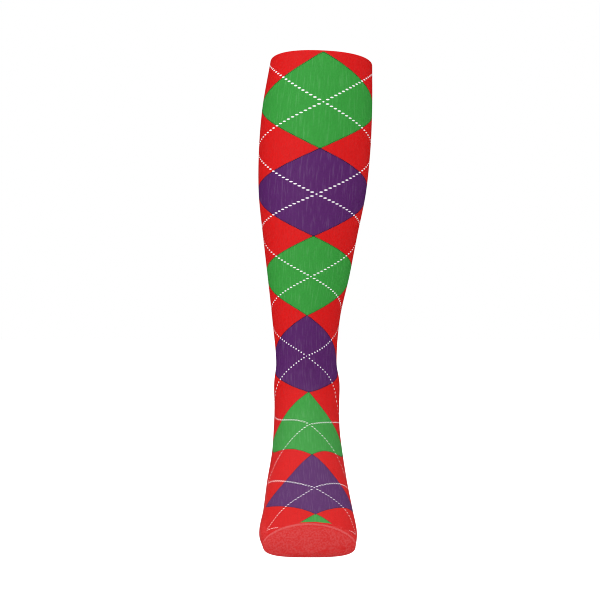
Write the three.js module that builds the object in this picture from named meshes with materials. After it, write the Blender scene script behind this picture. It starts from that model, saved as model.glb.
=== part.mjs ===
// A knitted argyle sock in the form that a leg gives it. Millimetres, +Z up, toe towards -Y.
// The origin is the centre of the leg opening. Every piece is cut from one shape of rings:
// a place on the cloth is (turn, at), where turn runs from -1 to 1 round a ring with 0 at the
// front and 0.5 at the sides, and at counts diamonds of the pattern down from the rim.
import * as THREE from 'three';
import { mergeVertices } from 'three/addons/utils/BufferGeometryUtils.js';

// Driving sizes
const LEG_LENGTH = 326; // rim to ankle joint
const LEG_LEAN = 15; // how far the ankle stands to the left of the rim
const CALF_WIDTH = 111.8;
const CALF_DEPTH = 121;
const FOOT_LENGTH = 242; // back of the heel to the toe
const FOOT_WIDTH = 91;
const HEEL_REACH = 52; // ankle joint back to the heel
const ANKLE_HEIGHT = 75; // ankle joint above the sole
const FOOT_PITCH = 24; // degrees, toe down
const WALL = 1.5; // plain knit
const CUFF_WALL = 3; // the cuff is turned and double
const CUFF_HEIGHT = 16;
const SEAM_WIDTH = 2.4;
const SEAM_RISE = 0.9;
const APEX_WIDTH = 2.4; // the heel pocket's blunt side corners
const CLEARANCE = 0.3; // between neighbouring pieces

// Places in diamonds down from the rim
const HEEL_MIDDLE = 4;
const HEEL_SPREAD = 0.6; // diamonds that the pocket gains for each unit of turn
const SEAM_AT = 6.2;
const TOE_TIP = SEAM_AT + 1; // the toe's dome takes one unit
const TOE_UNDERLAP = 0.3; // how far the toe pocket runs back under the sole

// Fineness
const SIDE_STEPS = 24; // columns over half a ring

// Leg rings. drop is a share of LEG_LENGTH, width and slant of CALF_WIDTH, rise, depth and back of
// CALF_DEPTH, lean of LEG_LEAN. rise is how much higher the front of a ring is than its sides, slant
// how much lower its right is than its left, and full is how square it is.
const LEG_ROWS = [
  { at: 0.0, drop: 0.0, rise: 0.071, slant: 0.04,
    width: 0.903, depth: 0.843, back: 0.008, lean: 0.0, full: 2.25 },
  { at: 0.5, drop: 0.135, rise: 0.021, slant: 0.02,
    width: 0.977, depth: 0.942, back: 0.025, lean: 0.27, full: 2.1 },
  { at: 1.0, drop: 0.264, rise: -0.004, slant: 0.01,
    width: 0.996, depth: 1.0, back: 0.045, lean: 0.45, full: 2 },
  { at: 1.5, drop: 0.397, rise: -0.012, slant: 0.01,
    width: 0.958, depth: 0.992, back: 0.05, lean: 0.61, full: 2 },
  { at: 2.0, drop: 0.525, rise: -0.004, slant: 0,
    width: 0.845, depth: 0.909, back: 0.033, lean: 0.75, full: 2 },
  { at: 2.5, drop: 0.651, rise: 0.008, slant: 0,
    width: 0.731, depth: 0.802, back: 0.012, lean: 0.86, full: 2 },
  { at: 3.0, drop: 0.78, rise: 0.041, slant: 0,
    width: 0.606, depth: 0.694, back: 0.0, lean: 1.02, full: 2 },
  { at: 3.5, drop: 0.916, rise: 0.074, slant: 0,
    width: 0.541, depth: 0.62, back: 0.008, lean: 1.0, full: 2 },
];

// Foot rings, each through a top, a side and a sole point. The three ...Along columns run forward
// from the ankle joint as shares of FOOT_LENGTH, the ...High columns stand above the sole as shares
// of ANKLE_HEIGHT, width is a share of FOOT_WIDTH, lean of LEG_LEAN, and flat is how square the
// sole's half is.
const FOOT_ROWS = [
  { at: 3.75, topAlong: 0.096, topHigh: 1.41, sideAlong: -0.028, sideHigh: 1.04,
    soleAlong: -0.208, soleHigh: 0.5, width: 0.722, lean: 0.97, flat: 2.1 },
  { at: 4.0, topAlong: 0.129, topHigh: 1.197, sideAlong: -0.002, sideHigh: 0.72,
    soleAlong: -0.185, soleHigh: 0.11, width: 0.715, lean: 0.97, flat: 2.3 },
  { at: 4.25, topAlong: 0.186, topHigh: 1.06, sideAlong: 0.076, sideHigh: 0.5,
    soleAlong: -0.035, soleHigh: 0.0, width: 0.728, lean: 0.98, flat: 2.5 },
  { at: 4.5, topAlong: 0.253, topHigh: 0.939, sideAlong: 0.176, sideHigh: 0.347,
    soleAlong: 0.14, soleHigh: 0.0, width: 0.768, lean: 0.95, flat: 2.6 },
  { at: 5.0, topAlong: 0.382, topHigh: 0.737, sideAlong: 0.368, sideHigh: 0.267,
    soleAlong: 0.363, soleHigh: 0.0, width: 0.858, lean: 0.97, flat: 2.6 },
  { at: 5.5, topAlong: 0.533, topHigh: 0.543, sideAlong: 0.536, sideHigh: 0.2,
    soleAlong: 0.537, soleHigh: 0.0, width: 0.938, lean: 0.92, flat: 2.7 },
  { at: 6.0, topAlong: 0.661, topHigh: 0.413, sideAlong: 0.672, sideHigh: 0.15,
    soleAlong: 0.676, soleHigh: 0.0, width: 1.012, lean: 0.92, flat: 2.7 },
  { at: 6.2, topAlong: 0.715, topHigh: 0.36, sideAlong: 0.75, sideHigh: 0.13,
    soleAlong: 0.757, soleHigh: 0.0, width: 0.95, lean: 0.85, flat: 2.4 },
];
const TOE_TIP_HEIGHT = 0.11; // share of ANKLE_HEIGHT
const TOE_TIP_LEAN = 0.85; // share of LEG_LEAN

// Where the needles lie: degrees round a ring at which the front half of the pattern starts on the
// left, has its middle, and ends on the right.
const NEEDLE_ROWS = [
  { at: 0.0, left: -105, middle: 1, right: 106 },
  { at: 0.5, left: -107, middle: 5, right: 106 },
  { at: 1.5, left: -106, middle: 4, right: 108 },
  { at: 2.5, left: -111, middle: 3, right: 107 },
  { at: 3.5, left: -114, middle: 0, right: 88 },
  { at: 4.0, left: -104, middle: 3, right: 86 },
  { at: 4.5, left: -91, middle: 4, right: 90 },
  { at: 5.0, left: -76, middle: 7, right: 90 },
  { at: 5.5, left: -69, middle: 8, right: 90 },
  { at: 6.2, left: -80, middle: 9, right: 86 },
];

// The value of one column at a station, on a smooth curve through its rows
function column(rows, key, at) {
  const last = rows.length - 2;
  let row = 0;
  while (row < last && at > rows[row + 1].at) row += 1;
  const slope = (index) => {
    const start = Math.max(index - 1, 0);
    const end = Math.min(index + 1, rows.length - 1);
    return (rows[end][key] - rows[start][key]) / (rows[end].at - rows[start].at);
  };
  const span = rows[row + 1].at - rows[row].at;
  const t = THREE.MathUtils.clamp((at - rows[row].at) / span, 0, 1);
  const bend = t * t * (3 - 2 * t);
  return (
    rows[row][key] * (1 - bend) +
    rows[row + 1][key] * bend +
    span * slope(row) * t * (1 - t) * (1 - t) -
    span * slope(row + 1) * t * t * (1 - t)
  );
}

// A place in the foot's own plane, as [y, z] of the sock
function footPoint(along, high) {
  const pitch = THREE.MathUtils.degToRad(FOOT_PITCH);
  const over = high - ANKLE_HEIGHT;
  return [
    -along * Math.cos(pitch) - over * Math.sin(pitch),
    -LEG_LENGTH - along * Math.sin(pitch) + over * Math.cos(pitch),
  ];
}

// Both tables as plain rings: the [y, z] of the front, side and back points, the half width, the
// slant, and how square the front half (full) and the back half (flat) are
function legRing(row) {
  const half = (row.depth * CALF_DEPTH) / 2;
  const middle = row.back * CALF_DEPTH;
  const drop = -row.drop * LEG_LENGTH;
  const rise = row.rise * CALF_DEPTH;
  return {
    at: row.at, frontY: middle - half, frontZ: drop + rise, sideY: middle, sideZ: drop,
    backY: middle + half, backZ: drop - rise, half: (row.width * CALF_WIDTH) / 2,
    middleX: -row.lean * LEG_LEAN, slant: row.slant * CALF_WIDTH, full: row.full, flat: row.full,
  };
}

function footRing(row) {
  const [frontY, frontZ] = footPoint(row.topAlong * FOOT_LENGTH, row.topHigh * ANKLE_HEIGHT);
  const [sideY, sideZ] = footPoint(row.sideAlong * FOOT_LENGTH, row.sideHigh * ANKLE_HEIGHT);
  const [backY, backZ] = footPoint(row.soleAlong * FOOT_LENGTH, row.soleHigh * ANKLE_HEIGHT);
  return {
    at: row.at, frontY, frontZ, sideY, sideZ, backY, backZ,
    half: (row.width * FOOT_WIDTH) / 2, middleX: -row.lean * LEG_LEAN, slant: 0,
    full: 2, flat: row.flat,
  };
}

const RINGS = [...LEG_ROWS.map(legRing), ...FOOT_ROWS.map(footRing)];

function ringPoint(angle, at) {
  const value = (key) => column(RINGS, key, at);
  const squareness = value(Math.cos(angle) > 0 ? 'full' : 'flat');
  const soften = (share) => Math.sign(share) * Math.abs(share) ** (2 / squareness);
  const aside = soften(Math.sin(angle));
  const ahead = soften(Math.cos(angle));
  const bent = (front, side, back) =>
    side + ((front - back) / 2) * ahead + ((front + back) / 2 - side) * ahead * ahead;
  return new THREE.Vector3(
    value('middleX') + value('half') * aside,
    bent(value('frontY'), value('sideY'), value('backY')),
    bent(value('frontZ'), value('sideZ'), value('backZ')) - (value('slant') / 2) * aside,
  );
}

function needleAngle(turn, at) {
  const round = turn > 1 ? turn - 2 : turn;
  const left = column(NEEDLE_ROWS, 'left', at);
  const middle = column(NEEDLE_ROWS, 'middle', at);
  const right = column(NEEDLE_ROWS, 'right', at);
  const knots = [
    [-1, -180],
    [-0.5, left],
    [0, middle],
    [0.5, right],
    [1, 180],
  ];
  const next = Math.max(knots.findIndex((knot) => knot[0] >= round), 1);
  const [from, start] = knots[next - 1];
  const [to, end] = knots[next];
  return THREE.MathUtils.degToRad(start + ((end - start) * (round - from)) / (to - from));
}

// The outer face of the cloth. Past the toe seam the last ring closes on the tip as a dome.
const seamRow = RINGS[RINGS.length - 1];
const seamMiddle = new THREE.Vector3(seamRow.middleX, seamRow.sideY, seamRow.sideZ);
const [tipY, tipZ] = footPoint(FOOT_LENGTH - HEEL_REACH, TOE_TIP_HEIGHT * ANKLE_HEIGHT);
const toeTip = new THREE.Vector3(-TOE_TIP_LEAN * LEG_LEAN, tipY, tipZ);

function cloth(turn, at) {
  if (at <= SEAM_AT) return ringPoint(needleAngle(turn, at), at);
  const rim = ringPoint(needleAngle(turn, SEAM_AT), SEAM_AT);
  const swing = (Math.min(at - SEAM_AT, 1) * Math.PI) / 2;
  return seamMiddle
    .clone()
    .addScaledVector(rim.sub(seamMiddle), Math.cos(swing))
    .addScaledVector(toeTip.clone().sub(seamMiddle), Math.sin(swing));
}

// Slopes of the cloth, in millimetres for each unit of turn and of at
const STEP = 0.002;

function roundSlope(turn, at) {
  return cloth(turn + STEP, at).sub(cloth(turn - STEP, at)).divideScalar(2 * STEP);
}

function downSlope(turn, at) {
  const before = at > SEAM_AT ? Math.max(at - STEP, SEAM_AT) : Math.max(at - STEP, 0);
  const after = at > SEAM_AT ? at + STEP : Math.min(at + STEP, SEAM_AT);
  return cloth(turn, after).sub(cloth(turn, before)).divideScalar(after - before);
}

function outward(turn, at) {
  if (at >= TOE_TIP - STEP) return toeTip.clone().sub(seamMiddle).normalize();
  return downSlope(turn, at).cross(roundSlope(turn, at)).normalize();
}

// Half a clearance in units of at, square to a border that gains slope of at for each turn
function borderGap(turn, at, slope = 0) {
  const round = roundSlope(turn, at);
  const down = downSlope(turn, at);
  const edge = round.clone().addScaledVector(down, slope);
  return ((CLEARANCE / 2) * edge.length()) / round.cross(down).length();
}

// Half a clearance in units of turn, square to a side line
function sideGap(turn, at) {
  const down = downSlope(turn, at);
  return ((CLEARANCE / 2) * down.length()) / roundSlope(turn, at).cross(down).length();
}

// Borders between the pieces, each as at for a turn
const fromSide = (turn) => Math.max(Math.abs(turn > 1 ? turn - 2 : turn) - 0.5, 0);
const cuffBorder = (turn) => CUFF_HEIGHT / downSlope(turn, STEP).length();
const heelTop = (turn) => HEEL_MIDDLE - HEEL_SPREAD * fromSide(turn);
const heelBottom = (turn) => HEEL_MIDDLE + HEEL_SPREAD * fromSide(turn);
const toeBorder = (turn) => SEAM_AT - TOE_UNDERLAP * Math.sin(Math.PI * fromSide(turn));
const underlapSlope = (turn) => (fromSide(turn) > 0 ? TOE_UNDERLAP * Math.PI : 0);
const seamBorder = (turn) => SEAM_AT - SEAM_WIDTH / downSlope(turn, SEAM_AT).length();

const spread = (from, to, steps) =>
  Array.from({ length: steps + 1 }, (_, index) => from + ((to - from) * index) / steps);

// A closed wall from rows of outer and inner points. A row runs round the sock, and a ring's last
// point joins its first.
function wallMesh(name, outer, inner, isRing, material) {
  const positions = [];
  const columns = outer[0].length;
  const put = (a, b, c) => {
    const flat = a.equals(b) || b.equals(c) || c.equals(a);
    if (!flat) positions.push(...a.toArray(), ...b.toArray(), ...c.toArray());
  };
  const quad = (a, b, c, d) => {
    put(a, c, b);
    put(b, c, d);
  };
  const cells = isRing ? columns : columns - 1;
  const last = outer.length - 1;
  for (let i = 0; i < cells; i += 1) {
    const k = (i + 1) % columns;
    for (let j = 0; j < last; j += 1) {
      quad(outer[j][i], outer[j][k], outer[j + 1][i], outer[j + 1][k]);
      quad(inner[j][k], inner[j][i], inner[j + 1][k], inner[j + 1][i]);
    }
    quad(inner[0][i], inner[0][k], outer[0][i], outer[0][k]);
    quad(outer[last][i], outer[last][k], inner[last][i], inner[last][k]);
  }
  if (!isRing) {
    for (let j = 0; j < last; j += 1) {
      quad(inner[j][0], outer[j][0], inner[j + 1][0], outer[j + 1][0]);
      quad(outer[j][cells], inner[j][cells], outer[j + 1][cells], inner[j + 1][cells]);
    }
  }
  const geometry = new THREE.BufferGeometry();
  geometry.setAttribute('position', new THREE.Float32BufferAttribute(positions, 3));
  const mesh = new THREE.Mesh(mergeVertices(geometry, 1e-4), material);
  mesh.name = name;
  return mesh;
}

// A piece of plain knit between two borders. turns gives the columns for a share of the way down.
function knitPiece(name, { turns, top, bottom, shares, isRing, material }) {
  const outer = [];
  const inner = [];
  for (const share of shares) {
    const places = turns(share).map((turn) => {
      const from = top(turn);
      return [turn, from + (bottom(turn) - from) * share];
    });
    outer.push(places.map(([turn, at]) => cloth(turn, at)));
    inner.push(places.map(([turn, at]) => cloth(turn, at).addScaledVector(outward(turn, at), -WALL)));
  }
  return wallMesh(name, outer, inner, isRing, material);
}

const fullRing = () => spread(-1, 1, 2 * SIDE_STEPS).slice(0, -1);

// Red combed cotton for the leg and instep, a denser yarn of the same red where the sock wears
const combedRed = new THREE.MeshStandardMaterial({ color: 0xd81a1a, roughness: 0.9, metalness: 0 });
const denseRed = new THREE.MeshStandardMaterial({ color: 0xd04848, roughness: 0.95, metalness: 0 });

// Cuff: the knit turned in on itself, with a round fold at the rim and its outside flush with the leg
function buildCuff() {
  const radius = CUFF_WALL / 2;
  const foldSteps = 4;
  const outer = [];
  const inner = [];
  const place = (turn, below, depth) => {
    const at = below / downSlope(turn, STEP).length();
    return cloth(turn, at).addScaledVector(outward(turn, at), -depth);
  };
  for (const swing of spread(0, Math.PI / 2, foldSteps)) {
    const below = radius * (1 - Math.sin(swing));
    const aside = radius * Math.cos(swing);
    outer.unshift(fullRing().map((turn) => place(turn, below, radius - aside)));
    inner.unshift(fullRing().map((turn) => place(turn, below, radius + aside)));
  }
  const lowest = CUFF_HEIGHT - CLEARANCE / 2;
  for (const below of spread(radius, lowest, 2).slice(1)) {
    outer.push(fullRing().map((turn) => place(turn, below, 0)));
    inner.push(fullRing().map((turn) => place(turn, below, CUFF_WALL)));
  }
  return wallMesh('cuff', outer, inner, true, combedRed);
}

// Leg: a tube from the cuff to the heel pocket behind and to the instep in front
function buildLeg() {
  return knitPiece('leg', {
    turns: fullRing,
    top: (turn) => cuffBorder(turn) + borderGap(turn, cuffBorder(turn)),
    bottom: (turn) => {
      const slope = fromSide(turn + Math.sign(turn) * STEP) > 0 ? HEEL_SPREAD : 0;
      return heelTop(turn) - borderGap(turn, heelTop(turn), slope);
    },
    shares: spread(0, 1, 22),
    isRing: true,
    material: combedRed,
  });
}

// Heel: a pocket let in behind the ankle, from one blunt side corner round to the other
function buildHeel() {
  const start = 0.5 + APEX_WIDTH / roundSlope(0.5, HEEL_MIDDLE).length();
  return knitPiece('heel', {
    turns: () => spread(start, 2 - start, SIDE_STEPS),
    top: (turn) => heelTop(turn) + borderGap(turn, heelTop(turn), HEEL_SPREAD),
    bottom: (turn) => heelBottom(turn) - borderGap(turn, heelBottom(turn), HEEL_SPREAD),
    shares: spread(0, 1, 8),
    isRing: false,
    material: denseRed,
  });
}

// Columns between two side lines, held half a clearance inside them at each height
function betweenSides(startTurn, endTurn, fromAt, toAt) {
  return (share) => {
    const at = fromAt + (toAt - fromAt) * share;
    return spread(startTurn + sideGap(startTurn, at), endTurn - sideGap(endTurn, at), SIDE_STEPS);
  };
}

// Instep: the patterned top of the foot, from the ankle to the toe seam
function buildInstep() {
  return knitPiece('instep', {
    turns: betweenSides(-0.5, 0.5, HEEL_MIDDLE, SEAM_AT),
    top: (turn) => HEEL_MIDDLE + borderGap(turn, HEEL_MIDDLE),
    bottom: (turn) => seamBorder(turn) - borderGap(turn, seamBorder(turn)),
    shares: spread(0, 1, 12),
    isRing: false,
    material: combedRed,
  });
}

// Sole: the plain underside, from the heel pocket to the toe pocket
function buildSole() {
  return knitPiece('sole', {
    turns: betweenSides(0.5, 1.5, HEEL_MIDDLE, SEAM_AT),
    top: (turn) => heelBottom(turn) + borderGap(turn, heelBottom(turn), HEEL_SPREAD),
    bottom: (turn) => toeBorder(turn) - borderGap(turn, toeBorder(turn), TOE_UNDERLAP * Math.PI),
    shares: spread(0, 1, 12),
    isRing: false,
    material: denseRed,
  });
}

// Toe: a pocket that closes on the tip and runs a little way back under the sole
function buildToe() {
  return knitPiece('toe', {
    turns: fullRing,
    top: (turn) => toeBorder(turn) + borderGap(turn, toeBorder(turn) + STEP, underlapSlope(turn)),
    bottom: () => TOE_TIP,
    shares: [0, 0.14, 0.28, 0.42, 0.56, 0.7, 0.82, 0.92, 1],
    isRing: true,
    material: denseRed,
  });
}

// Toe seam: the linked ridge over the toes, where the instep is joined to the toe pocket
function buildToeSeam() {
  const outer = [];
  const inner = [];
  const start = -0.5 + sideGap(-0.5, SEAM_AT);
  const end = 0.5 - sideGap(0.5, SEAM_AT);
  const turns = spread(start, end, SIDE_STEPS);
  for (const share of spread(0, 1, 4)) {
    const rise = SEAM_RISE * Math.sin(Math.PI * share);
    const level = (height) =>
      turns.map((turn) => {
        const lowest = SEAM_AT - borderGap(turn, SEAM_AT);
        const highest = seamBorder(turn) + borderGap(turn, seamBorder(turn));
        const at = highest + (lowest - highest) * share;
        return cloth(turn, at).addScaledVector(outward(turn, at), height);
      });
    outer.push(level(rise));
    inner.push(level(-WALL));
  }
  return wallMesh('toe_seam', outer, inner, false, denseRed);
}

const sock = new THREE.Group();
sock.name = 'argyle_sock';
sock.add(buildCuff(), buildLeg(), buildHeel(), buildInstep(), buildSole(), buildToeSeam(), buildToe());

export default sock;
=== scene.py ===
import math

import bmesh
import bpy
import numpy as np
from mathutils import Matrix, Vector


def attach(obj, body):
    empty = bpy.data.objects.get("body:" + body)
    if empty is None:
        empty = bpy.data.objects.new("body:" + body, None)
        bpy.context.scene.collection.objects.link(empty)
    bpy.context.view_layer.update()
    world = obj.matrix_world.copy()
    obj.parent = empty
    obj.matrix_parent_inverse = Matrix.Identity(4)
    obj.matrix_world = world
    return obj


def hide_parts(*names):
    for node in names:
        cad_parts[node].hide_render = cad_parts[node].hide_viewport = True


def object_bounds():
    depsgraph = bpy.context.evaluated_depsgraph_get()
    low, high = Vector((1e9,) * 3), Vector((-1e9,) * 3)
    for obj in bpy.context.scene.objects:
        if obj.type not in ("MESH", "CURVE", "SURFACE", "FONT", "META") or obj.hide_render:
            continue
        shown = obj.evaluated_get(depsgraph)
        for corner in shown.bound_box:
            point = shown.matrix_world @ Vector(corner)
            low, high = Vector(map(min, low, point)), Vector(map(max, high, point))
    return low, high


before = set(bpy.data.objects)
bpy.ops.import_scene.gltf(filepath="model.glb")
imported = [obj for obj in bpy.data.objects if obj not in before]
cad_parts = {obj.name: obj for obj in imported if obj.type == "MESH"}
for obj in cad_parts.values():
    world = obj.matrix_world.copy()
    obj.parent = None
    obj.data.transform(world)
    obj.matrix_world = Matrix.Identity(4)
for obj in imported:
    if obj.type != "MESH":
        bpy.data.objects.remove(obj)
cad_low, cad_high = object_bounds()

# Camera: a long lens at the height of the calf, as far off as a whole leg needs, so that the rim
# is seen a little from below and the foot from above.
CAMERA_ASIDE = -0.0214
CAMERA_AWAY = 1.9
CAMERA_HEIGHT = -0.156
AIM_DROP = 0.08
CAMERA_LENS = 114.0
SENSOR_WIDTH = 36.0
CAMERA_REACH = 30.0
PIXEL_FILTER = 1.0
camera_data = bpy.data.cameras.new("camera")
camera_data.lens = CAMERA_LENS
camera_data.sensor_width = SENSOR_WIDTH
camera_data.clip_end = CAMERA_REACH
camera = bpy.data.objects.new("camera", camera_data)
camera.location = (CAMERA_ASIDE, -CAMERA_AWAY, CAMERA_HEIGHT)
camera.rotation_euler = (math.pi / 2 - math.atan(AIM_DROP / CAMERA_AWAY), 0.0, 0.0)
bpy.context.collection.objects.link(camera)
bpy.context.scene.camera = camera
bpy.context.scene.view_settings.view_transform = "Standard"
bpy.context.scene.cycles.filter_width = PIXEL_FILTER

# Floor: white, and well below the toe because the sock is held up at its opening. It glows a
# little, so that no shadow shows on it, and throws no light back at the sock.
FLOOR_DROP = 0.25
FLOOR_WIDTH = 14.0
FLOOR_GREY = (0.5, 0.5, 0.5, 1.0)
FLOOR_GLOW = 0.75
floor_mesh = bpy.data.meshes.new("floor")
ground = bmesh.new()
bmesh.ops.create_grid(ground, x_segments=1, y_segments=1, size=FLOOR_WIDTH / 2)
bmesh.ops.translate(ground, verts=ground.verts[:], vec=(0.0, 0.0, cad_low[2] - FLOOR_DROP))
ground.to_mesh(floor_mesh)
ground.free()
floor = bpy.data.objects.new("floor", floor_mesh)
bpy.context.collection.objects.link(floor)
floor_finish = bpy.data.materials.new("white_floor")
floor_finish.use_nodes = True
floor_shader = floor_finish.node_tree.nodes["Principled BSDF"]
floor_shader.inputs["Base Color"].default_value = FLOOR_GREY
floor_shader.inputs["Roughness"].default_value = 1.0
floor_shader.inputs["Specular IOR Level"].default_value = 0.0
floor_shader.inputs["Emission Color"].default_value = (1.0, 1.0, 1.0, 1.0)
floor_shader.inputs["Emission Strength"].default_value = FLOOR_GLOW
floor_mesh.materials.append(floor_finish)
floor.visible_diffuse = False
floor.visible_glossy = False

# Light: a white room that is lighter above, a wide soft box that reaches from the left side to
# just right of the camera, and a smaller one overhead for the top of the foot.
ROOM_LEVEL = 0.97
ROOM_SLOPE = (0.0, 0.0, 0.11)
world = bpy.data.worlds.new("white_room")
world.use_nodes = True
world.cycles_visibility.glossy = False
room = world.node_tree
slope = room.nodes.new("ShaderNodeVectorMath")
slope.operation = "DOT_PRODUCT"
slope.inputs[1].default_value = ROOM_SLOPE
room.links.new(room.nodes.new("ShaderNodeTexCoord").outputs["Generated"], slope.inputs[0])
level = room.nodes.new("ShaderNodeMath")
level.inputs[1].default_value = ROOM_LEVEL
room.links.new(slope.outputs["Value"], level.inputs[0])
backdrop = room.nodes.new("ShaderNodeMix")
backdrop.inputs["B"].default_value = 1.0
seen = room.nodes.new("ShaderNodeLightPath")
room.links.new(seen.outputs["Is Camera Ray"], backdrop.inputs["Factor"])
room.links.new(level.outputs["Value"], backdrop.inputs["A"])
room.links.new(backdrop.outputs["Result"], room.nodes["Background"].inputs["Strength"])
room.nodes["Background"].inputs["Color"].default_value = (1.0, 1.0, 1.0, 1.0)
bpy.context.scene.world = world


def soft_box(name, place, target, size, glow):
    """A rectangle of light that is as bright as glow wherever it is seen."""
    data = bpy.data.lights.new(name, "AREA")
    data.shape = "RECTANGLE"
    data.size = size[0]
    data.size_y = size[1]
    data.energy = glow * math.pi * size[0] * size[1]
    box = bpy.data.objects.new(name, data)
    box.location = place
    box.rotation_euler = (Vector(target) - Vector(place)).to_track_quat("-Z", "Y").to_euler()
    bpy.context.collection.objects.link(box)


soft_box("key", place=(-0.95, -1.15, -0.05), target=(0.0, 0.0, -0.2), size=(2.6, 1.3), glow=0.5)
soft_box("overhead", place=(-0.1, -0.45, 0.8), target=(0.0, -0.1, -0.4), size=(1.2, 0.9), glow=0.6)


# Leg: a fine tube of plain knit in combed cotton, 208 needles round, with the argyle worked in
# from a chart. It takes the form of the leg inside it, so its stitches are laid on that form.
LEG_LENGTH = 0.326
LEG_LEAN = 0.015
CALF_WIDTH = 0.1118
CALF_DEPTH = 0.121
FOOT_LENGTH = 0.242
FOOT_WIDTH = 0.091
HEEL_REACH = 0.052
ANKLE_HEIGHT = 0.075
FOOT_PITCH = math.radians(24)
CUFF_HEIGHT = 0.016
WALL = 0.0015
HEEL_MIDDLE = 4.0
HEEL_SPREAD = 0.6
SEAM_AT = 6.2
NEEDLES = 104
RING_COLUMNS = 4 * NEEDLES
HALF_COLUMNS = 2 * NEEDLES
RIDGE = 0.00006
CREASE = math.radians(50)
SLOPE_STEP = 0.002
NEAR_TIP = 0.99

# Rings of the leg. at counts diamonds down from the rim. drop is a share of LEG_LENGTH, width
# and slant of CALF_WIDTH, rise, depth and back of CALF_DEPTH, lean of LEG_LEAN. full is how square
# the ring is, where 2 is an ellipse.
LEG_COLUMNS = ("at", "drop", "rise", "slant", "width", "depth", "back", "lean", "full")
LEG_ROWS = [
    (0.0, 0.0, 0.071, 0.04, 0.903, 0.843, 0.008, 0.0, 2.25),
    (0.5, 0.135, 0.021, 0.02, 0.977, 0.942, 0.025, 0.27, 2.1),
    (1.0, 0.264, -0.004, 0.01, 0.996, 1.0, 0.045, 0.45, 2.0),
    (1.5, 0.397, -0.012, 0.01, 0.958, 0.992, 0.05, 0.61, 2.0),
    (2.0, 0.525, -0.004, 0.0, 0.845, 0.909, 0.033, 0.75, 2.0),
    (2.5, 0.651, 0.008, 0.0, 0.731, 0.802, 0.012, 0.86, 2.0),
    (3.0, 0.78, 0.041, 0.0, 0.606, 0.694, 0.0, 1.02, 2.0),
    (3.5, 0.916, 0.074, 0.0, 0.541, 0.62, 0.008, 1.0, 2.0),
]

# Rings of the foot. The three along columns run forward from the ankle as shares of FOOT_LENGTH,
# the high columns stand above the sole as shares of ANKLE_HEIGHT, width is a share of FOOT_WIDTH,
# lean of LEG_LEAN. flat is how square the back half is.
FOOT_COLUMNS = ("at", "top_along", "top_high", "side_along", "side_high", "sole_along",
                "sole_high", "width", "lean", "flat")
FOOT_ROWS = [
    (3.75, 0.096, 1.41, -0.028, 1.04, -0.208, 0.5, 0.722, 0.97, 2.1),
    (4.0, 0.129, 1.197, -0.002, 0.72, -0.185, 0.11, 0.715, 0.97, 2.3),
    (4.25, 0.186, 1.06, 0.076, 0.5, -0.035, 0.0, 0.728, 0.98, 2.5),
    (4.5, 0.253, 0.939, 0.176, 0.347, 0.14, 0.0, 0.768, 0.95, 2.6),
    (5.0, 0.382, 0.737, 0.368, 0.267, 0.363, 0.0, 0.858, 0.97, 2.6),
    (5.5, 0.533, 0.543, 0.536, 0.2, 0.537, 0.0, 0.938, 0.92, 2.7),
    (6.0, 0.661, 0.413, 0.672, 0.15, 0.676, 0.0, 1.012, 0.92, 2.7),
    (6.2, 0.715, 0.36, 0.75, 0.13, 0.757, 0.0, 0.95, 0.85, 2.4),
]
TOE_TIP_HEIGHT = 0.11
TOE_TIP_LEAN = 0.85
ELLIPSE = 2.0

# Degrees round a ring at which the front of the pattern starts, has its middle and ends, and how
# far its needles spread outwards half way to each side
NEEDLE_COLUMNS = ("at", "left", "middle", "right", "left_spread", "right_spread")
NEEDLE_ROWS = [
    (0.0, -96, 1, 106, -8, -6),
    (0.5, -97, 5, 106, -4, -3),
    (1.5, -98, 4, 108, 0, 0),
    (2.5, -104, 3, 107, -2, 0),
    (3.5, -114, 0, 88, -2, 8),
    (4.0, -104, 3, 86, 0, 3),
    (4.5, -91, 4, 90, 0, 0),
    (5.0, -76, 7, 90, 0, 0),
    (5.5, -69, 8, 90, 0, 0),
    (6.2, -80, 9, 86, 0, 0),
]


def foot_point(along, high):
    """The y and z of a place so far along the sole and so high above it."""
    over = (high - 1.0) * ANKLE_HEIGHT
    ahead = along * FOOT_LENGTH
    return (
        -ahead * math.cos(FOOT_PITCH) - over * math.sin(FOOT_PITCH),
        -LEG_LENGTH - ahead * math.sin(FOOT_PITCH) + over * math.cos(FOOT_PITCH),
    )


def leg_ring(row):
    half = row["depth"] * CALF_DEPTH / 2
    middle = row["back"] * CALF_DEPTH
    drop = -row["drop"] * LEG_LENGTH
    rise = row["rise"] * CALF_DEPTH
    return {
        "at": row["at"], "front_y": middle - half, "front_z": drop + rise, "side_y": middle,
        "side_z": drop, "back_y": middle + half, "back_z": drop - rise,
        "half": row["width"] * CALF_WIDTH / 2, "middle_x": -row["lean"] * LEG_LEAN,
        "slant": row["slant"] * CALF_WIDTH, "full": row["full"], "flat": row["full"],
    }


def foot_ring(row):
    front = foot_point(row["top_along"], row["top_high"])
    side = foot_point(row["side_along"], row["side_high"])
    back = foot_point(row["sole_along"], row["sole_high"])
    return {
        "at": row["at"], "front_y": front[0], "front_z": front[1], "side_y": side[0],
        "side_z": side[1], "back_y": back[0], "back_z": back[1],
        "half": row["width"] * FOOT_WIDTH / 2, "middle_x": -row["lean"] * LEG_LEAN,
        "slant": 0.0, "full": ELLIPSE, "flat": row["flat"],
    }


RINGS = [leg_ring(dict(zip(LEG_COLUMNS, row))) for row in LEG_ROWS]
RINGS += [foot_ring(dict(zip(FOOT_COLUMNS, row))) for row in FOOT_ROWS]
NEEDLE_RINGS = [dict(zip(NEEDLE_COLUMNS, row)) for row in NEEDLE_ROWS]


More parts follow.
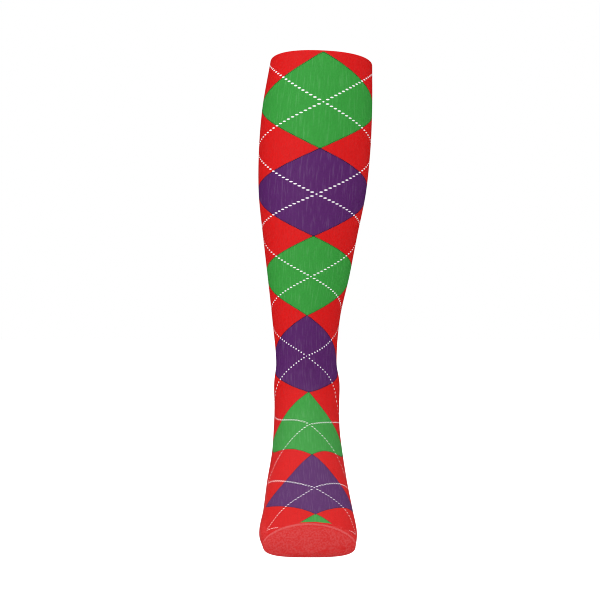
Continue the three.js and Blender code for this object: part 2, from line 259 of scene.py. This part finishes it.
def column(rows, key, at):
    """One column of a table at the stations at, on a smooth curve through its rows."""
    places = np.array([row["at"] for row in rows])
    values = np.array([row[key] for row in rows])
    before = np.maximum(np.arange(len(rows)) - 1, 0)
    after = np.minimum(np.arange(len(rows)) + 1, len(rows) - 1)
    slopes = (values[after] - values[before]) / (places[after] - places[before])
    row = np.clip(np.searchsorted(places, at) - 1, 0, len(rows) - 2)
    span = places[row + 1] - places[row]
    t = np.clip((at - places[row]) / span, 0.0, 1.0)
    bend = t * t * (3 - 2 * t)
    sway = (slopes[row] * (1 - t) - slopes[row + 1] * t) * t * (1 - t)
    return values[row] * (1 - bend) + values[row + 1] * bend + span * sway


def needle_angle(turn, at):
    """The angle round its ring at which a needle lies."""
    turn = np.where(turn > 1, turn - 2, turn)
    left, middle, right = (column(NEEDLE_RINGS, key, at) for key in ("left", "middle", "right"))
    front = middle + 2 * turn * np.where(turn < 0, middle - left, right - middle)
    spread = np.where(turn < 0, -column(NEEDLE_RINGS, "left_spread", at),
                      column(NEEDLE_RINGS, "right_spread", at))
    front = front + spread * 4 * np.abs(2 * turn) * (1 - np.abs(2 * turn))
    far_left = left + 2 * (turn + 0.5) * (left + 180)
    far_right = right + 2 * (turn - 0.5) * (180 - right)
    behind = np.where(turn < 0, far_left, far_right)
    return np.radians(np.where(np.abs(turn) <= 0.5, front, behind))


def ring_point(angle, at):
    """A place on the ring at a station, by its angle from the front."""
    ring = {key: column(RINGS, key, at) for key in RINGS[0]}
    square = np.where(np.cos(angle) > 0, ring["full"], ring["flat"])
    aside = np.sign(np.sin(angle)) * np.abs(np.sin(angle)) ** (2 / square)
    ahead = np.sign(np.cos(angle)) * np.abs(np.cos(angle)) ** (2 / square)

    def bent(front, side, back):
        return side + (front - back) / 2 * ahead + ((front + back) / 2 - side) * ahead * ahead

    x = ring["middle_x"] + ring["half"] * aside
    y = bent(ring["front_y"], ring["side_y"], ring["back_y"])
    z = bent(ring["front_z"], ring["side_z"], ring["back_z"]) - ring["slant"] / 2 * aside
    return np.stack([x, y, z], axis=-1)


def on_form(turn, at):
    """Places on the cloth: turn 0 in front, 0.5 at the sides, 1 behind, and at down from the rim.
    Past the toe seam the last ring closes on the toe's tip as a dome."""
    seam_middle = np.array([RINGS[-1]["middle_x"], RINGS[-1]["side_y"], RINGS[-1]["side_z"]])
    tip_along = (FOOT_LENGTH - HEEL_REACH) / FOOT_LENGTH
    toe_tip = np.array([-TOE_TIP_LEAN * LEG_LEAN, *foot_point(tip_along, TOE_TIP_HEIGHT)])
    swing = np.clip(at - SEAM_AT, 0.0, 1.0)[..., None] * math.pi / 2
    place = np.minimum(at, SEAM_AT)
    ring = ring_point(needle_angle(turn, place), place)
    from_middle = (ring - seam_middle) * np.cos(swing) + (toe_tip - seam_middle) * np.sin(swing)
    return np.where(swing > 0, seam_middle + from_middle, ring)


def slope_down(turn, at):
    """How the cloth runs down at a place, in metres for each diamond."""
    start = np.where(at > SEAM_AT, SEAM_AT, 0.0)
    before = np.maximum(at - SLOPE_STEP, start)
    after = np.where(at > SEAM_AT, at + SLOPE_STEP, np.minimum(at + SLOPE_STEP, SEAM_AT))
    return (on_form(turn, after) - on_form(turn, before)) / (after - before)[..., None]


def outward(turn, at):
    """Which way the cloth faces. At the tip, where all wales meet, it is taken just short of it."""
    at = np.minimum(at, SEAM_AT + NEAR_TIP)
    around = on_form(turn + SLOPE_STEP, at) - on_form(turn - SLOPE_STEP, at)
    normal = np.cross(slope_down(turn, at), around)
    return normal / np.linalg.norm(normal, axis=-1, keepdims=True)


def from_side(turn):
    """0 in front and at the sides, up to 0.5 behind."""
    return np.maximum(np.abs(np.where(turn > 1, turn - 2, turn)) - 0.5, 0.0)


def cuff_border(turn):
    slope = slope_down(turn, np.full_like(turn, SLOPE_STEP))
    return CUFF_HEIGHT / np.linalg.norm(slope, axis=-1)


def heel_top(turn):
    return HEEL_MIDDLE - HEEL_SPREAD * from_side(turn)


def rise_between(at, start, end):
    share = np.clip((at - start) / (end - start), 0.0, 1.0)
    return share * share * (3 - 2 * share)


# The knit is pulled off its level rows: how far it hangs a third and two thirds of the way from
# the front to each side, and at the side, each as a share of a diamond's height.
PULL_COLUMNS = ("at", "left_third", "left_two_thirds", "left_side",
                "right_third", "right_two_thirds", "right_side")
PULL_ROWS = [
    (0.0, 0.0, 0.0, 0.0, 0.0, 0.01, 0.03),
    (1.5, 0.0, 0.0, 0.0, 0.0, 0.01, 0.03),
    (2.0, 0.0, -0.01, -0.045, 0.0, -0.01, -0.03),
    (2.5, 0.0, 0.0, 0.0, 0.0, 0.0, 0.01),
    (3.3, 0.0, 0.0, -0.04, 0.025, 0.025, 0.03),
    (3.55, 0.0, 0.0, -0.06, 0.04, 0.055, 0.065),
    (3.9, 0.035, 0.04, 0.05, 0.06, 0.1, 0.12),
    (4.1, 0.05, 0.05, -0.085, 0.1, 0.15, 0.2),
    (4.5, 0.03, 0.03, -0.125, 0.045, 0.04, -0.01),
    (4.9, 0.037, 0.075, 0.14, 0.02, 0.1, 0.17),
    (5.3, 0.07, 0.1, 0.095, 0.025, 0.06, 0.13),
    (5.7, 0.045, 0.07, 0.1, -0.03, -0.01, 0.12),
    (6.0, 0.03, 0.13, 0.37, -0.02, 0.05, 0.27),
    (6.15, 0.0, 0.0, 0.15, -0.03, -0.06, 0.1),
]
PULL_RINGS = [dict(zip(PULL_COLUMNS, row)) for row in PULL_ROWS]
RIM_PULL = 0.015
RIM_PULL_END = 0.25


def pull_at(key, turn, at):
    left, right = (column(PULL_RINGS, f"{hand}_{key}", at) for hand in ("left", "right"))
    return np.where(turn > 0, right, left)


def course(turn, at):
    """The course of knit at a place. The pull round it is the cubic, 0 in front, that goes through
    the three pulls of the table."""
    aside = 1 - np.abs(1 - 2 * np.abs(np.where(turn > 1, turn - 2, turn)))
    from_third, from_two_thirds, to_side = aside - 1 / 3, aside - 2 / 3, aside - 1
    third = 27 / 2 * pull_at("third", turn, at) * from_two_thirds * to_side
    two_thirds = 27 / 2 * pull_at("two_thirds", turn, at) * from_third * to_side
    side = 9 / 2 * pull_at("side", turn, at) * from_third * from_two_thirds
    rim = RIM_PULL * (1 - rise_between(at, 0.0, RIM_PULL_END))
    return (at - (third - two_thirds + side) * aside - rim) * NEEDLES


# Towards the toe the pattern draws in from the sides, most on the left.
DRAWN_LEFT = 0.25
DRAWN_LEFT_ROWS = (5.5, 6.1)
DRAWN_RIGHT = 0.12
DRAWN_RIGHT_ROWS = (5.8, 6.14)


def wale(turn, at):
    left = DRAWN_LEFT * rise_between(at, *DRAWN_LEFT_ROWS)
    right = DRAWN_RIGHT * rise_between(at, *DRAWN_RIGHT_ROWS)
    return turn * (1 + np.where(turn < 0, left, right)) * NEEDLES


def panel_mesh(name, columns, rows, place, stitch):
    """A grid of knit. place gives its points and stitch its wales and courses, both for a share of
    the way across and down."""
    grid = bmesh.new()
    bmesh.ops.create_grid(grid, x_segments=columns, y_segments=rows, size=1.0)
    grid.verts.index_update()
    corners = np.array([vert.co for vert in grid.verts])
    across, down = (corners[:, 0] + 1) / 2, (1 - corners[:, 1]) / 2
    points = place(across, down)
    wales, courses = stitch(across, down)
    stitches = grid.loops.layers.uv.new("stitches")
    for face in grid.faces:
        face.smooth = True
        for loop in face.loops:
            loop[stitches].uv = (wales[loop.vert.index], courses[loop.vert.index])
    for vert, point in zip(grid.verts, points):
        vert.co = point
    bmesh.ops.remove_doubles(grid, verts=grid.verts[:], dist=1e-6)
    grid.normal_update()
    for edge in grid.edges:
        edge.smooth = not edge.is_boundary and edge.calc_face_angle(0.0) < CREASE
    mesh = bpy.data.meshes.new(name)
    grid.to_mesh(mesh)
    grid.free()
    return mesh


def walled(name, mesh):
    """A knit of one layer from the mesh of its outer face."""
    piece = bpy.data.objects.new(name, mesh)
    bpy.context.collection.objects.link(piece)
    wall = piece.modifiers.new("wall", "SOLIDIFY")
    wall.thickness = WALL
    wall.offset = -1.0
    return piece


def ridge(turn, at):
    """How far each wale stands out. It fades where the toe closes."""
    closing = np.cos(np.clip(at - SEAM_AT, 0.0, 1.0) * math.pi / 2)
    return -RIDGE * closing * np.cos(2 * math.pi * turn * NEEDLES)


def knit_panel(name, turns, top, bottom, columns, rows):
    """One wall of knit between two borders."""

    def station(across, down):
        turn = turns[0] + (turns[1] - turns[0]) * across
        return turn, top(turn) + (bottom(turn) - top(turn)) * down

    def place(across, down):
        turn, at = station(across, down)
        return on_form(turn, at) + outward(turn, at) * ridge(turn, at)[:, None]

    def stitch(across, down):
        turn, at = station(across, down)
        return wale(turn, at), course(turn, at)

    return walled(name, panel_mesh(name, columns, rows, place, stitch))


def term(tree, operation, *values):
    """One arithmetic node. Each value is a number or another node's output."""
    node = tree.nodes.new("ShaderNodeMath")
    node.operation = operation
    for socket, value in zip(node.inputs, values):
        if isinstance(value, bpy.types.NodeSocket):
            tree.links.new(value, socket)
        else:
            socket.default_value = value
    return node.outputs["Value"]


def ramp(tree, value, start, end):
    """0 at start and 1 at end, with a soft step between."""
    node = tree.nodes.new("ShaderNodeMapRange")
    node.interpolation_type = "SMOOTHSTEP"
    node.inputs["From Min"].default_value = min(start, end)
    node.inputs["From Max"].default_value = max(start, end)
    node.inputs["To Min"].default_value = 0.0 if start < end else 1.0
    node.inputs["To Max"].default_value = 1.0 if start < end else 0.0
    tree.links.new(value, node.inputs["Value"])
    return node.outputs["Result"]


def new_group(name, inputs, outputs):
    """An empty node group with named sockets: the tree, what comes in and what goes out."""
    tree = bpy.data.node_groups.new(name, "ShaderNodeTree")
    for label, kind in inputs:
        tree.interface.new_socket(label, in_out="INPUT", socket_type=kind)
    for label, kind in outputs:
        tree.interface.new_socket(label, in_out="OUTPUT", socket_type=kind)
    entry = tree.nodes.new("NodeGroupInput")
    leave = tree.nodes.new("NodeGroupOutput")
    return tree, entry.outputs, leave.inputs


# The chart: diamonds 104 stitches wide that meet at their corners, green and purple by turns, and
# dashed diagonals through their middles, one dash to every two or three stitches. It ends short of
# the toe seam, and on the foot at the sides. A narrow band inside the rim is plain. Each pair is
# where a soft step starts and ends.
CHART_END = 6.14
RIM_BAND_MIDDLE = -0.02
RIM_BAND_REACH = 0.02
SIDES_END = 4.5
CORNER = 0.502
JOIN_EDGE = (0.009, 0.003)
DASHES = 22
DASH_LONG = 0.42
DASH_HIGH = 0.32
DASH_EDGE = (1.2, 0.8)
DOT_LONG = 0.24
ANKLE_ROWS = (2.4, 3.2)
ANKLE_SHORTER = 0.16
ANKLE_HIGHER = 0.08
INSTEP_ROWS = (3.6, 4.6)
INSTEP_LOWER = 0.07
DENSE_WALES = (0.46, 0.54)
DENSE_SIDE_ROWS = (5.2, 6.0)
DENSE_ROWS = (6.12, 6.2)


def argyle_chart():
    tree, entry, leave = new_group(
        "argyle_chart", [("Stitches", "NodeSocketVector")],
        [("Green", "NodeSocketFloat"), ("Purple", "NodeSocketFloat"),
         ("Dash", "NodeSocketFloat"), ("Join", "NodeSocketFloat"),
         ("Foot", "NodeSocketFloat"), ("Dense", "NodeSocketFloat")],
    )
    split = tree.nodes.new("ShaderNodeSeparateXYZ")
    tree.links.new(entry["Stitches"], split.inputs["Vector"])
    wale_share = term(tree, "DIVIDE", split.outputs["X"], NEEDLES)
    row_share = term(tree, "DIVIDE", split.outputs["Y"], NEEDLES)
    from_front = term(tree, "ABSOLUTE", wale_share)
    on_foot = term(tree, "GREATER_THAN", row_share, SIDES_END)
    past_side = term(tree, "MULTIPLY", term(tree, "GREATER_THAN", from_front, 0.5), on_foot)
    rim_band = term(tree, "COMPARE", row_share, RIM_BAND_MIDDLE, RIM_BAND_REACH)
    plain = term(tree, "MAXIMUM", past_side, rim_band)
    in_chart = term(tree, "MULTIPLY", term(tree, "LESS_THAN", row_share, CHART_END),
                    term(tree, "SUBTRACT", 1.0, plain))

    # Diamonds, decided at the middle of each stitch
    half = 0.5 / NEEDLES
    wale = term(tree, "ADD", term(tree, "SNAP", wale_share, 1 / NEEDLES), half)
    row = term(tree, "ADD", term(tree, "SNAP", row_share, 1 / NEEDLES), half)
    aside = term(tree, "PINGPONG", wale, 0.5)
    above = term(tree, "PINGPONG", term(tree, "ADD", row, 0.5), 0.5)
    from_centre = term(tree, "ADD", aside, above)
    in_diamond = term(tree, "LESS_THAN", from_centre, CORNER)
    coloured = term(tree, "MULTIPLY", in_diamond, in_chart)
    side = term(tree, "FLOOR", term(tree, "ADD", wale, 0.5))
    odd = term(tree, "PINGPONG", term(tree, "ADD", term(tree, "FLOOR", row), side), 1.0)
    even = term(tree, "SUBTRACT", 1.0, odd)
    tree.links.new(term(tree, "MULTIPLY", coloured, even), leave["Green"])
    tree.links.new(term(tree, "MULTIPLY", coloured, odd), leave["Purple"])

    # The join of two yarns, about one stitch wide
    past_join = term(tree, "ABSOLUTE", term(tree, "SUBTRACT", from_centre, CORNER))
    join = term(tree, "MULTIPLY", ramp(tree, past_join, *JOIN_EDGE), in_chart)
    tree.links.new(join, leave["Join"])

    # Dashes, each a lens two stitches wide, and a small round one where two lines cross. Near the
    # ankle, where the cloth is narrowest, they are nearly round, and on the foot they are lower.
    foot = ramp(tree, row_share, *INSTEP_ROWS)
    off_foot = term(tree, "SUBTRACT", 1.0, foot)
    ankle = term(tree, "MULTIPLY", ramp(tree, row_share, *ANKLE_ROWS), off_foot)
    dash_aside = term(tree, "MULTIPLY", term(tree, "PINGPONG", wale_share, 0.5), 2 * DASHES)
    folded = term(tree, "PINGPONG", term(tree, "ADD", row_share, 0.5), 0.5)
    dash_above = term(tree, "MULTIPLY", folded, 2 * DASHES)
    number_aside = term(tree, "ROUND", dash_aside)
    number_above = term(tree, "ROUND", dash_above)
    on_line = term(tree, "COMPARE", number_aside, number_above, 0.1)
    from_crossing = term(tree, "PINGPONG", number_aside, DASHES / 2)
    crossing = term(tree, "LESS_THAN", from_crossing, 0.5)
    long = term(tree, "MULTIPLY_ADD", crossing, DOT_LONG - DASH_LONG, DASH_LONG)
    long = term(tree, "MULTIPLY_ADD", ankle, -ANKLE_SHORTER, long)
    high = term(tree, "MULTIPLY_ADD", ankle, ANKLE_HIGHER, DASH_HIGH)
    high = term(tree, "MULTIPLY_ADD", foot, -INSTEP_LOWER, high)
    long_way = term(tree, "DIVIDE", term(tree, "SUBTRACT", dash_aside, number_aside), long)
    high_way = term(tree, "DIVIDE", term(tree, "SUBTRACT", dash_above, number_above), high)
    reach = term(tree, "ADD", term(tree, "MULTIPLY", long_way, long_way),
                 term(tree, "MULTIPLY", high_way, high_way))
    dash = term(tree, "MULTIPLY", ramp(tree, reach, *DASH_EDGE), on_line)
    tree.links.new(term(tree, "MULTIPLY", dash, in_chart), leave["Dash"])
    tree.links.new(foot, leave["Foot"])

    # Where the denser yarn of the sole and toe begins to show through
    at_side = term(tree, "MULTIPLY", ramp(tree, from_front, *DENSE_WALES),
                   ramp(tree, row_share, *DENSE_SIDE_ROWS))
    dense = term(tree, "MAXIMUM", at_side, ramp(tree, row_share, *DENSE_ROWS))
    tree.links.new(dense, leave["Dense"])
    return tree


GROOVE_SWING = 1.7 * math.pi
GROOVE_START = 0.4
LOOP_SHARE = 0.3
LOOP_RISE = 0.0004
LOOP_DEPTH = 0.4


def knit_loops():
    """Each stitch is a V of two slanting legs, with a groove between one wale and the next."""
    tree, entry, leave = new_group(
        "knit_loops", [("Stitches", "NodeSocketVector"), ("Depth", "NodeSocketFloat")],
        [("Normal", "NodeSocketVector")],
    )
    split = tree.nodes.new("ShaderNodeSeparateXYZ")
    tree.links.new(entry["Stitches"], split.inputs["Vector"])
    from_middle = term(tree, "PINGPONG", term(tree, "ADD", split.outputs["X"], 0.5), 0.5)
    across = term(tree, "SINE", term(tree, "MULTIPLY_ADD", from_middle, GROOVE_SWING, GROOVE_START))
    phase = term(tree, "ADD", split.outputs["Y"], from_middle)
    along = term(tree, "SINE", term(tree, "MULTIPLY", phase, 2 * math.pi))
    loop = term(tree, "MULTIPLY_ADD", along, LOOP_SHARE, 1 - LOOP_SHARE)
    height = term(tree, "MULTIPLY", across, loop)
    bump = tree.nodes.new("ShaderNodeBump")
    bump.inputs["Distance"].default_value = LOOP_RISE
    tree.links.new(entry["Depth"], bump.inputs["Strength"])
    tree.links.new(height, bump.inputs["Height"])
    tree.links.new(bump.outputs["Normal"], leave["Normal"])
    return tree


STREAK_SHAPE = (0.9, 0.05, 1.0)
PATCH_SCALE = 620.0


def heather():
    """Yarn is never even: its tone wanders along each wale and from one patch to the next."""
    tree, entry, leave = new_group(
        "heather", [("Stitches", "NodeSocketVector"), ("Place", "NodeSocketVector")],
        [("Streak", "NodeSocketFloat"), ("Patch", "NodeSocketFloat")],
    )
    stretch = tree.nodes.new("ShaderNodeVectorMath")
    stretch.operation = "MULTIPLY"
    stretch.inputs[1].default_value = STREAK_SHAPE
    tree.links.new(entry["Stitches"], stretch.inputs[0])
    streaks = tree.nodes.new("ShaderNodeTexNoise")
    streaks.inputs["Scale"].default_value = 1.0
    tree.links.new(stretch.outputs["Vector"], streaks.inputs["Vector"])
    tree.links.new(streaks.outputs["Fac"], leave["Streak"])
    patches = tree.nodes.new("ShaderNodeTexNoise")
    patches.inputs["Scale"].default_value = PATCH_SCALE
    tree.links.new(entry["Place"], patches.inputs["Vector"])
    tree.links.new(patches.outputs["Fac"], leave["Patch"])
    return tree


def use_group(tree, group, **links):
    """A group in a tree, each socket linked to an output or set to a number."""
    node = tree.nodes.new("ShaderNodeGroup")
    node.node_tree = group
    for label, value in links.items():
        if isinstance(value, bpy.types.NodeSocket):
            tree.links.new(value, node.inputs[label])
        else:
            node.inputs[label].default_value = value
    return node.outputs


# Places of a mix node's factor and colours, whose names its number and vector sockets share
MIX_FACTOR = 0
MIX_UNDER = 6
MIX_OVER = 7
MIX_RESULT = 2


def blend(tree, mask, under, over, kind="MIX"):
    """One colour over another by a mask. Each is a constant or another node's output."""
    node = tree.nodes.new("ShaderNodeMix")
    node.data_type = "RGBA"
    node.blend_type = kind
    for index, value in ((MIX_FACTOR, mask), (MIX_UNDER, under), (MIX_OVER, over)):
        if isinstance(value, bpy.types.NodeSocket):
            tree.links.new(value, node.inputs[index])
        else:
            node.inputs[index].default_value = value
    return node.outputs[MIX_RESULT]


def knit_material(name, roughness, gloss):
    """A finish with the loops in it, and what its colour is made from."""
    finish = bpy.data.materials.new(name)
    finish.use_nodes = True
    tree = finish.node_tree
    shader = tree.nodes["Principled BSDF"]
    shader.inputs["Roughness"].default_value = roughness
    shader.inputs["Specular IOR Level"].default_value = gloss
    stitches = tree.nodes.new("ShaderNodeUVMap")
    stitches.uv_map = "stitches"
    relief = use_group(tree, LOOPS, Stitches=stitches.outputs["UV"], Depth=LOOP_DEPTH)
    tree.links.new(relief["Normal"], shader.inputs["Normal"])
    place = tree.nodes.new("ShaderNodeTexCoord").outputs["Object"]
    yarn = use_group(tree, HEATHER, Stitches=stitches.outputs["UV"], Place=place)
    return finish, tree, shader, stitches.outputs["UV"], yarn


CHART = argyle_chart()
LOOPS = knit_loops()
HEATHER = heather()
RED = (0.69, 0.002, 0.002, 1.0)
GREEN = (0.034, 0.33, 0.042, 1.0)
PURPLE = (0.098, 0.014, 0.138, 1.0)
WHITE = (0.95, 0.92, 0.94, 1.0)
PALE_AND_SHEEN = (1.0, 1.0, 1.0, 1.0)
JOIN = (0.0, 0.0, 0.0, 1.0)
JOIN_STRENGTH = 0.6
DENSE_RED = (0.69, 0.008, 0.008, 1.0)
DENSE_PINK = (0.71, 0.045, 0.045, 1.0)
DENSE_EDGE = (0.35, 0.68)
PALE_STREAKS = 0.028
PALE_EDGE = (0.5, 0.75)
# Painted sheen: the foot, and its diamonds the more, is paled towards white for the light that its
# up-facing top catches.
PAINTED_SHEEN_FOOT = 0.01
PAINTED_SHEEN_FOOT_DIAMONDS = 0.012
TONE_LEAST = 0.81
TONE_STREAK = 0.18
TONE_PATCH = 0.2


def dense_colour(tree, yarn):
    return blend(tree, ramp(tree, yarn["Patch"], *DENSE_EDGE), DENSE_RED, DENSE_PINK)


def patterned_knit():
    finish, tree, shader, stitches, yarn = knit_material(
        "patterned_knit", roughness=0.38, gloss=0.22
    )
    masks = use_group(tree, CHART, Stitches=stitches)
    colour = blend(tree, masks["Green"], RED, GREEN)
    colour = blend(tree, masks["Purple"], colour, PURPLE)
    colour = blend(tree, term(tree, "MULTIPLY", masks["Join"], JOIN_STRENGTH), colour, JOIN)
    # Pale streaks of heather run along the wales of the diamonds. Over the foot a pale veil is
    # painted sheen, heavier on the diamonds, for the light the up-facing instep catches.
    pale_streaks_and_sheen = term(tree, "MULTIPLY", ramp(tree, yarn["Streak"], *PALE_EDGE), PALE_STREAKS)
    pale_streaks_and_sheen = term(tree, "MULTIPLY_ADD", masks["Foot"], PAINTED_SHEEN_FOOT_DIAMONDS, pale_streaks_and_sheen)
    pale_streaks_and_sheen = term(tree, "MULTIPLY", pale_streaks_and_sheen, term(tree, "MAXIMUM", masks["Green"], masks["Purple"]))
    pale_streaks_and_sheen = term(tree, "MULTIPLY_ADD", masks["Foot"], PAINTED_SHEEN_FOOT, pale_streaks_and_sheen)
    colour = blend(tree, pale_streaks_and_sheen, colour, PALE_AND_SHEEN)
    colour = blend(tree, masks["Dash"], colour, WHITE)
    colour = blend(tree, masks["Dense"], colour, dense_colour(tree, yarn))
    tone = term(tree, "MULTIPLY_ADD", yarn["Streak"], TONE_STREAK, TONE_LEAST)
    tone = term(tree, "MULTIPLY_ADD", yarn["Patch"], TONE_PATCH, tone)
    grey = tree.nodes.new("ShaderNodeCombineColor")
    for channel in grey.inputs:
        tree.links.new(tone, channel)
    colour = blend(tree, 1.0, colour, grey.outputs["Color"], "MULTIPLY")
    tree.links.new(colour, shader.inputs["Base Color"])
    return finish


pattern_finish = patterned_knit()
leg = knit_panel("leg_knit", (-1.0, 1.0), cuff_border, heel_top, RING_COLUMNS, 90)
leg.data.materials.append(pattern_finish)
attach(leg, "root")
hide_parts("leg")

# Cuff: the top of the leg, turned in on itself and linked down inside, so it is double and has a
# round fold for a rim. The argyle runs on over it.
CUFF_WALL = 0.003

# Shares of the way along a wale of the cuff: its outer foot, the start and end of the fold, its
# inner foot, and where that is linked to the outer one
CUFF_PROFILE = (0.0, 0.42, 0.58, 0.92, 1.0)


def cuff_place(across, down):
    turn = 1 - 2 * across
    radius = CUFF_WALL / 2
    swing = np.interp(down, CUFF_PROFILE[1:3], (0.0, math.pi))
    below = np.interp(down, CUFF_PROFILE, (CUFF_HEIGHT, radius, radius, CUFF_HEIGHT, CUFF_HEIGHT))
    below = below - radius * np.sin(swing)
    depth = radius * (1 - np.cos(swing)) * np.interp(down, CUFF_PROFILE[3:], (1.0, 0.0))
    at = below / CUFF_HEIGHT * cuff_border(turn)
    rise = ridge(turn, at) * np.cos(swing) - depth
    return on_form(turn, at) + outward(turn, at) * rise[:, None]


def cuff_stitch(across, down):
    turn = 1 - 2 * across
    fold = CUFF_WALL / 2 / CUFF_HEIGHT
    at = cuff_border(turn) * np.interp(down, CUFF_PROFILE, (1.0, fold, -fold, -1.0, -1.0))
    return wale(turn, at), course(turn, at)


cuff_mesh = panel_mesh("cuff_knit", RING_COLUMNS, 50, cuff_place, cuff_stitch)
cuff = bpy.data.objects.new("cuff_knit", cuff_mesh)
bpy.context.collection.objects.link(cuff)
cuff.data.materials.append(pattern_finish)
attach(cuff, "root")
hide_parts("cuff")


# Instep: the patterned top of the foot, knitted on from the leg and linked to the toe.
SEAM_WIDTH = 0.0024


def instep_top(turn):
    return np.full_like(turn, HEEL_MIDDLE)


def seam_border(turn):
    slope = np.linalg.norm(slope_down(turn, np.full_like(turn, SEAM_AT)), axis=-1)
    return SEAM_AT - SEAM_WIDTH / slope


instep = knit_panel("instep_knit", (-0.5, 0.5), instep_top, seam_border, HALF_COLUMNS, 60)
instep.data.materials.append(pattern_finish)
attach(instep, "root")
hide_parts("instep")


# Heel: a pocket of denser yarn let in behind the ankle, knitted to and fro between two corners.
def heel_bottom(turn):
    return HEEL_MIDDLE + HEEL_SPREAD * from_side(turn)


DENSE_ROUGHNESS = 0.42
DENSE_GLOSS = 0.45


def reinforced_knit():
    finish, tree, shader, _, yarn = knit_material("reinforced_knit", DENSE_ROUGHNESS, DENSE_GLOSS)
    tree.links.new(dense_colour(tree, yarn), shader.inputs["Base Color"])
    return finish


dense_finish = reinforced_knit()
heel = knit_panel("heel_knit", (0.5, 1.5), heel_top, heel_bottom, HALF_COLUMNS, 36)
heel.data.materials.append(dense_finish)
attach(heel, "root")
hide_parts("heel")


# Sole: the plain underside of the foot in the same denser yarn, joined to the instep at the sides.
TOE_UNDERLAP = 0.3


def toe_border(turn):
    return SEAM_AT - TOE_UNDERLAP * np.sin(math.pi * from_side(turn))


sole = knit_panel("sole_knit", (0.5, 1.5), heel_bottom, toe_border, HALF_COLUMNS, 60)
sole.data.materials.append(dense_finish)
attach(sole, "root")
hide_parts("sole")


# Toe: a rounded pocket of the denser yarn that closes the foot.
def toe_end(turn):
    return np.full_like(turn, SEAM_AT + 1.0)


toe = knit_panel("toe_knit", (-1.0, 1.0), toe_border, toe_end, RING_COLUMNS, 40)
toe.data.materials.append(dense_finish)
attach(toe, "root")
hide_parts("toe")

# Toe seam: instep and toe are linked stitch to stitch, which leaves a fine ridge over the toes.
SEAM_RISE = 0.0006
# The paler pink is a painted highlight, for the light caught along the top of the seam's ridge.
SEAM_HIGHLIGHT_PINK = (0.72, 0.085, 0.085, 1.0)
SEAM_EDGE = (0.3, 0.6)
SEAM_COURSES = 2


def seam_place(across, down):
    turn = across - 0.5
    at = seam_border(turn) + (SEAM_AT - seam_border(turn)) * down
    return on_form(turn, at) + outward(turn, at) * (SEAM_RISE * np.sin(math.pi * down))[:, None]


def seam_stitch(across, down):
    turn = across - 0.5
    return turn * NEEDLES, course(turn, seam_border(turn)) + SEAM_COURSES * down


# Painted highlight: the seam is mottled towards a paler pink for the light along the top of its
# ridge.
def linking_yarn_highlight():
    finish, tree, shader, _, yarn = knit_material("linking_yarn_highlight", DENSE_ROUGHNESS, DENSE_GLOSS)
    colour = blend(tree, ramp(tree, yarn["Patch"], *SEAM_EDGE), DENSE_PINK, SEAM_HIGHLIGHT_PINK)
    tree.links.new(colour, shader.inputs["Base Color"])
    return finish


seam_mesh = panel_mesh("seam_ridge", HALF_COLUMNS, 8, seam_place, seam_stitch)
seam = walled("seam_ridge", seam_mesh)
seam.data.materials.append(linking_yarn_highlight())
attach(seam, "root")
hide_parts("toe_seam")
